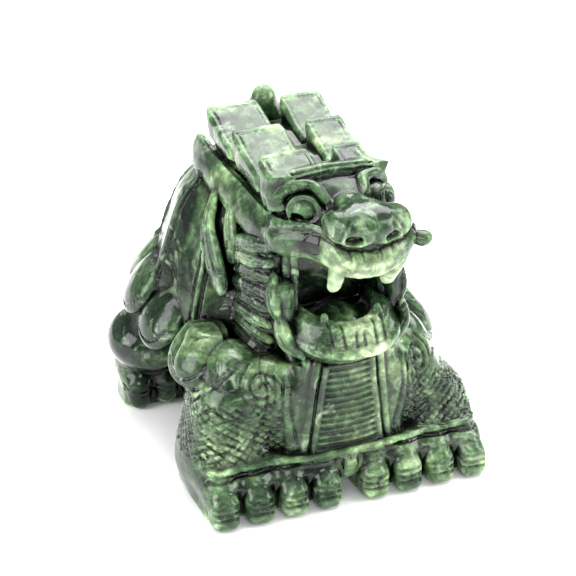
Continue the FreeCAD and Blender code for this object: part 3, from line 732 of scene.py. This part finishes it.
skin = np.full(COUNT, FAR, np.float32)
nearest = np.full(COUNT, FAR, np.float32)
for name, zone in zones.items():
    at = tuple(slice(a, b) for a, b in zip(zone.first, zone.last))
    skin[at] = join(skin[at], zone.d, BLEND.get(name, 0.7))
    nearest[at] = np.minimum(nearest[at], zone.d)


def sample(field, points):
    """A field at points, mirrored into the half that is kept."""
    p = np.array(points, float)
    p[:, 0] = np.abs(p[:, 0])
    q = np.clip((p - LOW) / STEP, 0, COUNT - 1.001)
    i = q.astype(int)
    f = q - i
    total = 0.0
    for dx in (0, 1):
        for dy in (0, 1):
            for dz in (0, 1):
                w = np.abs(1 - dx - f[:, 0]) * np.abs(1 - dy - f[:, 1]) * np.abs(1 - dz - f[:, 2])
                total = total + w * field[i[:, 0] + dx, i[:, 1] + dy, i[:, 2] + dz]
    return total


def drape(points, direction, reach=14.0):
    """Move points along a direction until they meet the skin; those that miss are left out."""
    n = int(reach / 0.3)
    steps = np.arange(n) * 0.3
    direction = np.asarray(direction, float)
    direction = np.broadcast_to(direction, points.shape)
    track = points[:, None, :] + direction[:, None, :] * steps[None, :, None]
    inside = sample(skin, track.reshape(-1, 3)).reshape(len(points), n) < 0
    hit = inside.any(1) & ~inside[:, 0]
    k = inside.argmax(1)
    return points + direction * (steps[k] - 0.15)[:, None], hit


def change_skin(shape, k, how):
    for field, low, high in shape:
        first, last = window(low - 1.0 - k, high + 1.0 + k)
        if (last <= first).any():
            continue
        at = tuple(slice(a, b) for a, b in zip(first, last))
        skin[at] = how(skin[at], field(*coordinates(first, last)), k)


def run(path, hit, radius, k, how):
    """Carve or raise bars along the draped points that follow one another."""
    for i in range(len(path) - 1):
        if hit[i] and hit[i + 1] and np.linalg.norm(path[i + 1] - path[i]) < 6:
            change_skin([rod(path[i], path[i + 1], radius, radius)], k, how)


for how, path, radius, direction, *limit in strokes:
    if direction is None:
        hit = np.ones(len(path), bool)
    else:
        path, hit = drape(path, direction, *limit)
    run(path, hit, radius, 0.35, how)


def draw(points, direction, reach, radius, k, how=remove):
    """Drape points on the skin and carve along them, or raise a line there."""
    run(*drape(points, direction, reach), radius, k, how)


# the hem across the legs, curls on the shoulders and long sweeping lines down the breast
hem = smooth_path([(11, -52, 15.2), (21, -52, 15.0), (30, -52, 14.7), (39, -52, 14.2)], 8)
draw(hem, REARWARD, 30.0, 0.75, 0.5, join)
draw(hem + vec(0, 0, -1.7), REARWARD, 30.0, 0.5, 0.4)
turn = np.linspace(0.4, 4.4 * math.pi, 44)
reach = np.linspace(1.0, 6.4, 44)
curl = np.stack([22.5 + reach * np.cos(turn), np.full_like(turn, -48.0), 36.0 + 0.9 * reach * np.sin(turn)], 1)
draw(curl, REARWARD, 26.0, 0.42, 0.35)
for start, end in ((15.5, 14.0), (17.5, 17.5), (19.5, 21.5), (21.5, 26.0)):
    line = smooth_path([(start, -48, 39), (start + 0.5, -48, 31), (end, -48, 19)], 7)
    draw(line, REARWARD, 26.0, 0.4, 0.35)
for shift in (0.0, 1.6, 3.2):
    line = smooth_path([(48, -31 + shift, 42 - shift), (48, -27 + shift, 33 - shift),
                        (48, -18 + shift, 28 - shift), (48, -11, 29 - shift)], 6)
    draw(line, INWARD, 26.0, 0.4, 0.35)

# feather scales on the fore legs: two families of slanting lines
leg_lo, leg_hi = mm("fore_leg_left")
for slope in (0.9, -0.75):
    for n in range(-6, 9):
        y = np.linspace(leg_lo[1] - 1, leg_hi[1] - 4, 14)
        z = 22.0 + n * 2.3 + slope * (y - leg_lo[1] - 10)
        inside = (z > 15) & (z < 31)
        if inside.sum() < 2:
            continue
        draw(np.stack([np.full_like(y, leg_hi[0] + 4), y, z], 1)[inside], INWARD, 18.0, 0.32, 0.25)
        x = np.linspace(leg_lo[0] - 2, leg_hi[0] + 1, 14)
        z = 22.0 + n * 2.3 - slope * (x - leg_lo[0] - 10)
        inside = (z > 16) & (z < 32)
        if inside.sum() < 2:
            continue
        draw(np.stack([x, np.full_like(x, leg_lo[1] - 8), z], 1)[inside], REARWARD, 20.0, 0.32, 0.25)

# flat soles
first, last = window((LOW[0], LOW[1], -5), (HIGH[0], HIGH[1], 3))
at = tuple(slice(a, b) for a, b in zip(first, last))
skin[at] = remove(skin[at], coordinates(first, last)[2], 0.8)


# ---- meshes

def box_blur(a, reach):
    """The mean over a cube, one axis at a time."""
    for axis in range(3):
        a = np.moveaxis(a, axis, 0)
        padded = np.concatenate([np.repeat(a[:1], reach + 1, 0), a, np.repeat(a[-1:], reach, 0)])
        total = np.cumsum(padded, axis=0, dtype=np.float32)
        a = np.moveaxis((total[2 * reach + 1:] - total[:-2 * reach - 1]) / (2 * reach + 1), 0, axis)
    return a


def painted_shade_crowding(size):
    """How much stone there is around each place: half on a flat face, more in a hollow, less on an edge; it
    drives the painted shade in hollows and the painted highlight on edges.
    """
    solid = np.clip(0.5 - skin / STEP, 0, 1)
    reach = int(round(size / STEP))
    solid = np.concatenate([solid[2 * reach:0:-1], solid])
    solid = np.pad(solid, ((0, 2 * reach), (2 * reach, 2 * reach), (2 * reach, 2 * reach)))
    once = box_blur(box_blur(solid, reach), max(1, reach // 2))
    return once[2 * reach:-2 * reach, 2 * reach:-2 * reach, 2 * reach:-2 * reach]


# where the colour is paler (above zero) or darker: place, reach and amount; partly the stone's own tone, partly
# painted light on the fronts of the muzzle, jaw, chest and feet, on the cheek, horn, far whisker and crown, and
# painted shade under the chin, on the mane below the horn, on the shell's side and low at the rear
TONE_AND_LIGHT_SPOTS = (((0, -46, 74), 13, 0.20), ((0, -42, 49), 13, 0.20), ((0, -42, 30), 12, 0.04), ((0, -44, 6), 18, 0.05),
         ((-14, -33, 52), 9, 0.10), ((-16, -24, 76), 9, 0.05), ((0, -26, 60), 10, -0.14),
         ((-38, 10, 52), 18, -0.07), ((-34, 30, 20), 17, -0.09), ((-18, -14, 54), 14, -0.12),
         ((-36, -38, 6), 12, 0.07), ((20, -42, 75), 6, 0.2), ((10, 0, 94), 16, 0.05), ((-10, 0, 94), 16, 0.05))


def tone_and_painted_light(points):
    """The colour's lightness at points: partly the stone's own tone, partly painted light and painted shade."""
    total = np.zeros(len(points))
    for place, reach, amount in TONE_AND_LIGHT_SPOTS:
        total += amount * np.exp(-np.sum(np.square(points - vec(*place)), axis=1) / reach ** 2)
    return total


def net(field, low):
    """The zero surface of a sampled field: one vertex in each cell that it crosses, quads across its edges."""
    inside = field < 0
    corners = [(a, b, c) for a in (0, 1) for b in (0, 1) for c in (0, 1)]
    shape = np.array(field.shape) - 1
    count = np.zeros(shape, np.uint8)
    for a, b, c in corners:
        count += inside[a:a + shape[0], b:b + shape[1], c:c + shape[2]]
    cells = np.argwhere((count > 0) & (count < 8))
    index = np.full(shape, -1, np.int32)
    index[tuple(cells.T)] = np.arange(len(cells))
    total, crossings = np.zeros((len(cells), 3)), np.zeros(len(cells))
    for a in corners:
        for axis in range(3):
            if a[axis]:
                continue
            b = tuple(v + (n == axis) for n, v in enumerate(a))
            fa = field[tuple((cells + a).T)].astype(float)
            fb = field[tuple((cells + b).T)].astype(float)
            cross = (fa < 0) != (fb < 0)
            t = fa[cross] / (fa[cross] - fb[cross])
            point = np.tile(np.array(a, float), (len(t), 1))
            point[:, axis] += t
            total[cross] += point
            crossings[cross] += 1
    points = low + STEP * (cells + total / crossings[:, None])
    faces = []
    for axis in range(3):
        u, v = (axis + 1) % 3, (axis + 2) % 3
        here = [slice(1, -1)] * 3
        here[axis] = slice(0, -1)
        there = list(here)
        there[axis] = slice(1, None)
        a, b = inside[tuple(here)], inside[tuple(there)]
        for mask, flip in ((a & ~b, False), (~a & b, True)):
            at = np.argwhere(mask)
            offset = np.ones(3, int)
            offset[axis] = 0
            at = at + offset
            quad = []
            for du, dv in ((-1, -1), (0, -1), (0, 0), (-1, 0)):
                cell = at.copy()
                cell[:, u] += du
                cell[:, v] += dv
                quad.append(index[tuple(cell.T)])
            quad = np.stack(quad, 1)
            faces.append(quad[:, ::-1] if flip else quad)
    return points, np.concatenate(faces)


def main_part(points, faces):
    """Leave out crumbs: connected bits far smaller than the largest."""
    label = np.arange(len(points))
    edges = np.concatenate([faces[:, [0, 1]], faces[:, [1, 2]], faces[:, [2, 3]]])
    while True:
        low = np.minimum(label[edges[:, 0]], label[edges[:, 1]])
        new = label.copy()
        np.minimum.at(new, edges[:, 0], low)
        np.minimum.at(new, edges[:, 1], low)
        new = new[new]
        if (new == label).all():
            break
        label = new
    sizes = np.bincount(label, minlength=len(points))
    good = sizes[label] > 0.02 * sizes.max()
    keep = good[faces[:, 0]]
    remap = np.cumsum(good) - 1
    return points[good], remap[faces[keep]]


def waver(points):
    """Small hand-made unevenness, the same for every piece, and the ways in which the two sides differ."""
    p = np.array(points)
    x, y, z = p.T
    out = np.zeros_like(p)
    for n, (size, amount) in enumerate(((31.0, 0.16), (13.0, 0.07), (5.0, 0.025))):
        f = 2 * math.pi / size
        out[:, 0] += amount * np.sin(f * y + 1.3 * n) * np.cos(f * z * 0.8 + 2.1)
        out[:, 1] += amount * np.sin(f * z + 0.7 + n) * np.cos(f * x * 0.9 + 0.4)
        out[:, 2] += amount * np.sin(f * x + 2.9 * n) * np.cos(f * y * 1.1 + 1.1) * np.clip(z / 6, 0, 1)
    # the crest rows lean to the creature's right, its left flank is drawn in and its snout turns to the left
    crest = fade(z, 80, 88) * fade(y, -27, -22)
    out[:, 0] -= np.interp(y, (-20, 20), (0.4, 1.7)) * fade(-x, 6, 15) * crest
    out[:, 0] -= np.interp(y, (-20, -8, 0, 20), (5.2, 3.2, 2.8, 1.2)) * fade(x, 4, 15) * crest
    flank = fade(z, 20, 31) * (1 - fade(z, 60, 76)) * fade(y, -42, -30)
    out[:, 0] -= 5.5 * fade(x, 14, 38) * flank
    snout = fade(-y, 27, 41) * fade(z, 62, 72)
    out[:, 0] += snout * (1.7 + 3.0 * fade(-x, 5, 16))
    out[:, 1] += snout * 1.6 * fade(-x, 6, 16)
    out[:, 2] += snout * 1.2 * fade(-x, 6, 16)
    return p + out


# painted shade and painted highlight: the crowding over 1.5 mm darkens creases and lightens edges, the crowding
# over 6 mm darkens deep recesses and places between parts
crease_shade_edge_light, broad_painted_shade = painted_shade_crowding(1.5), painted_shade_crowding(6.0)


# the lip whiskers: where they start on the left side, the share of their length kept and how far they drop
WHISKER_ROOT = (13.5, -36.5, 77.0)
WHISKER_RIGHT, WHISKER_LEFT = (0.3, 0.0), (0.76, 1.2)
# the broad painted shade on the whiskers is set to a level that leaves them undarkened
WHISKER_BROAD_SHADE = 0.4


def make_piece(node, source, side):
    """A mesh for one node from its zone's field.  side: 0 across the middle, 1 left, -1 right."""
    zone = zones[source]
    at = tuple(slice(a, b) for a, b in zip(zone.first, zone.last))
    field = zone.d + (skin[at] - nearest[at])
    low = LOW + STEP * zone.first
    if zone.first[0] == 0:
        if side == 0:
            field = np.concatenate([field[:0:-1], field])
            low[0] = -STEP * (zone.last[0] - 1)
        else:
            field = np.concatenate([field[3:0:-1], field])
            low[0] = -3 * STEP
    for axis in range(3):
        edge = [slice(None)] * 3
        for end in (0, -1):
            edge[axis] = end
            field[tuple(edge)] = np.maximum(field[tuple(edge)], 0.2)
    points, faces = main_part(*net(field, low))
    if side < 0:
        points = points * vec(-1, 1, 1)
        faces = faces[:, ::-1]
    layers = {"painted_shade_crowding": sample(crease_shade_edge_light, points), "broad_painted_shade": sample(broad_painted_shade, points), "tone_and_painted_light": tone_and_painted_light(points)}
    if "lip_whisker" in node:
        root = vec(side * WHISKER_ROOT[0], *WHISKER_ROOT[1:])
        share, drop = WHISKER_RIGHT if side < 0 else WHISKER_LEFT
        points = root + (points - root) * share + vec(0, 0, -drop)
        # the whiskers are kept out of the broad painted shade
        layers["broad_painted_shade"][:] = WHISKER_BROAD_SHADE
    points = waver(points)
    mesh = bpy.data.meshes.new("jade_" + node)
    mesh.vertices.add(len(points))
    mesh.vertices.foreach_set("co", (points / MM).ravel())
    mesh.loops.add(faces.size)
    mesh.loops.foreach_set("vertex_index", faces.ravel())
    mesh.polygons.add(len(faces))
    mesh.polygons.foreach_set("loop_start", np.arange(0, faces.size, 4))
    mesh.update(calc_edges=True)
    mesh.validate()
    mesh.shade_smooth()
    for name, values in layers.items():
        mesh.attributes.new(name, "FLOAT", "POINT").data.foreach_set("value", values.astype(np.float32))
    piece = bpy.data.objects.new("jade_" + node, mesh)
    bpy.context.scene.collection.objects.link(piece)
    mesh.materials.append(jade)
    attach(piece, "root")
    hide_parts(node)
    return piece


# ---- jade

def make_jade():
    material = bpy.data.materials.new("jade")
    material.use_nodes = True
    tree = material.node_tree
    nodes, links = tree.nodes, tree.links
    nodes.clear()

    def add(kind, **values):
        item = nodes.new(kind)
        for key, value in values.items():
            setattr(item, key, value)
        return item

    out = add("ShaderNodeOutputMaterial")
    shader = add("ShaderNodeBsdfPrincipled")
    links.new(shader.outputs[0], out.inputs[0])
    place = add("ShaderNodeTexCoord")
    scale = add("ShaderNodeVectorMath", operation="SCALE")
    scale.inputs["Scale"].default_value = MM
    links.new(place.outputs["Object"], scale.inputs[0])

    def noise(size, detail=4.0, rough=0.55, distortion=0.0, shift=0.0):
        item = add("ShaderNodeTexNoise")
        item.inputs["Scale"].default_value = 1.0 / size
        item.inputs["Detail"].default_value = detail
        item.inputs["Roughness"].default_value = rough
        item.inputs["Distortion"].default_value = distortion
        move = add("ShaderNodeVectorMath", operation="ADD")
        move.inputs[1].default_value = (shift, shift * 0.7, -shift * 1.3)
        links.new(scale.outputs[0], move.inputs[0])
        links.new(move.outputs[0], item.inputs["Vector"])
        return item.outputs["Fac"]

    def ramp(source, stops):
        item = add("ShaderNodeValToRGB")
        bar = item.color_ramp
        while len(bar.elements) > len(stops):
            bar.elements.remove(bar.elements[-1])
        while len(bar.elements) < len(stops):
            bar.elements.new(1.0)
        for element, (position, colour) in zip(bar.elements, stops):
            element.position = position
            element.color = (*colour, 1) if len(colour) == 3 else colour
        links.new(source, item.inputs[0])
        return item.outputs[0]

    def mix(amount, a, b, kind="MIX"):
        item = add("ShaderNodeMix", data_type="RGBA", blend_type=kind)
        for socket, value in ((item.inputs[0], amount), (item.inputs[6], a), (item.inputs[7], b)):
            if isinstance(value, bpy.types.NodeSocket):
                links.new(value, socket)
            elif isinstance(value, tuple):
                socket.default_value = (*value, 1)
            else:
                socket.default_value = value
        return item.outputs[2]

    grey = lambda v: (v, v, v)
    # large noise plus the tone layer, which holds painted light and painted shade as well as the stone's own
    # tone, sets where the colour is dark or pale
    bias = add("ShaderNodeMath", operation="ADD")
    links.new(noise(17, 5, 0.6, 0.7), bias.inputs[0])
    links.new(add("ShaderNodeAttribute", attribute_name="tone_and_painted_light").outputs["Fac"], bias.inputs[1])
    big = ramp(bias.outputs[0], [(0.30, (0.003, 0.007, 0.004)), (0.43, (0.010, 0.024, 0.010)),
                                 (0.53, (0.030, 0.060, 0.026)), (0.62, (0.078, 0.128, 0.056)),
                                 (0.74, (0.215, 0.285, 0.160))])
    fine = ramp(noise(2.6, 5, 0.62, 0.4, 31), [(0.32, grey(0.15)), (0.5, grey(0.85)), (0.66, grey(2.6))])
    colour = mix(0.6, big, fine, "MULTIPLY")
    cloud = ramp(noise(8.5, 6, 0.65, 1.2, 67), [(0.56, grey(0.0)), (0.68, grey(0.75))])
    colour = mix(cloud, colour, (0.20, 0.27, 0.17))
    dark = ramp(noise(6.0, 5, 0.7, 1.0, 113), [(0.58, grey(0.0)), (0.70, grey(0.85))])
    colour = mix(dark, colour, (0.006, 0.012, 0.008))
    # painted shade in creases and hollows and painted highlight on edges: the colour is multiplied down where
    # much stone lies close round a place and up on edges
    hollow = add("ShaderNodeAttribute", attribute_name="painted_shade_crowding")
    deep = ramp(hollow.outputs["Fac"], [(0.34, grey(2.1)), (0.47, grey(1.15)), (0.53, grey(0.72)),
                                        (0.58, grey(0.26)), (0.68, grey(0.05))])
    colour = mix(1.0, colour, deep, "MULTIPLY")
    # broad painted shade: the colour darkens where much stone lies round a place, in deep recesses and between
    # parts
    broad_shade_layer = add("ShaderNodeAttribute", attribute_name="broad_painted_shade")
    broad_shade_darkening = ramp(broad_shade_layer.outputs["Fac"], [(0.50, grey(1.0)), (0.62, grey(0.50)), (0.74, grey(0.10))])
    colour = mix(1.0, colour, broad_shade_darkening, "MULTIPLY")
    links.new(colour, shader.inputs["Base Color"])
    rough = ramp(noise(4.0, 4, 0.6, 0.0, 7), [(0.3, grey(0.07)), (0.7, grey(0.20))])
    links.new(rough, shader.inputs["Roughness"])
    shader.inputs["IOR"].default_value = 1.5
    shader.inputs["Specular IOR Level"].default_value = 0.34
    shader.inputs["Subsurface Weight"].default_value = 0.06
    shader.inputs["Subsurface Radius"].default_value = (0.5, 1.0, 0.45)
    shader.inputs["Subsurface Scale"].default_value = 0.0015
    dents = add("ShaderNodeBump")
    dents.inputs["Strength"].default_value = 0.18
    dents.inputs["Distance"].default_value = 0.0004
    links.new(noise(1.6, 3, 0.55, 0.0, 5), dents.inputs["Height"])
    links.new(dents.outputs[0], shader.inputs["Normal"])
    return material


jade = make_jade()
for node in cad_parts:
    if node.endswith("_right") or "_right_" in node:
        make_piece(node, node.replace("_right", "_left"), -1)
    elif "_left" in node:
        make_piece(node, node, 1)
    else:
        make_piece(node, node, 0)


# ---- floor, light and camera

def make_floor():
    mesh = bpy.data.meshes.new("floor")
    mesh.from_pydata([(-6, -6, 0), (6, -6, 0), (6, 6, 0), (-6, 6, 0)], [], [(0, 1, 2, 3)])
    floor = bpy.data.objects.new("floor", mesh)
    bpy.context.scene.collection.objects.link(floor)
    material = bpy.data.materials.new("paper")
    material.use_nodes = True
    shader = material.node_tree.nodes["Principled BSDF"]
    shader.inputs["Base Color"].default_value = (0.97, 0.97, 0.97, 1)
    shader.inputs["Roughness"].default_value = 0.6
    shader.inputs["Specular IOR Level"].default_value = 0.1
    mesh.materials.append(material)


def aim(thing, target):
    direction = vec(*target) - np.array(thing.location)
    w = -direction / np.linalg.norm(direction)
    u = np.cross((0, 0, 1), w)
    u /= np.linalg.norm(u)
    v = np.cross(w, u)
    thing.rotation_euler = Matrix(np.stack([u, v, w], axis=1).tolist()).to_euler()


def make_light(name, place, target, size, power):
    data = bpy.data.lights.new(name, "AREA")
    data.shape = "RECTANGLE"
    data.size, data.size_y = size
    data.energy = power
    light = bpy.data.objects.new(name, data)
    light.location = place
    bpy.context.scene.collection.objects.link(light)
    aim(light, target)


# the camera: degrees round from the front and up, metres away, and its lens in millimetres
CAMERA_TURN, CAMERA_TILT, CAMERA_DISTANCE, CAMERA_LENS, SENSOR = 21.5, 27.75, 0.504, 112.5, 36.0
TARGET_BEHIND_MIDDLE, TARGET_HEIGHT = 0.0051, 0.042
# each light: where it hangs, its width and height, all in metres, and its power in watts
LIGHTS = {"ceiling": ((0.1, 0.2, 1.6), (2.4, 2.4), 24.0), "top": ((0.26, 0.32, 0.75), (0.9, 0.8), 17.0),
          "left": ((-0.75, -0.05, 0.35), (0.45, 0.6), 6.0), "right": ((0.7, -0.35, 0.35), (0.35, 0.5), 4.5),
          "front": ((-0.15, -0.9, 0.5), (0.5, 0.25), 3.0)}
LIT_POINT = (0, 0, 0.05)
SKY_STRENGTH = 0.5


def make_camera():
    low, high = np.array(cad_box[0]), np.array(cad_box[1])
    middle = (low + high) / 2
    target = vec(middle[0], middle[1] + TARGET_BEHIND_MIDDLE, low[2] + TARGET_HEIGHT)
    turn, tilt = math.radians(CAMERA_TURN), math.radians(CAMERA_TILT)
    data = bpy.data.cameras.new("camera")
    data.lens = CAMERA_LENS
    data.sensor_width = SENSOR
    data.clip_start = 0.01
    camera = bpy.data.objects.new("camera", data)
    away = vec(-math.sin(turn) * math.cos(tilt), -math.cos(turn) * math.cos(tilt), math.sin(tilt))
    camera.location = target + CAMERA_DISTANCE * away
    bpy.context.scene.collection.objects.link(camera)
    aim(camera, target)
    bpy.context.scene.camera = camera


make_floor()
for name, (place, size, power) in LIGHTS.items():
    make_light(name, place, LIT_POINT, size, power)
world = bpy.data.worlds.new("studio")
world.use_nodes = True
world.node_tree.nodes["Background"].inputs[0].default_value = (1, 1, 1, 1)
world.node_tree.nodes["Background"].inputs[1].default_value = SKY_STRENGTH
bpy.context.scene.world = world
bpy.context.scene.view_settings.view_transform = "Standard"
make_camera()
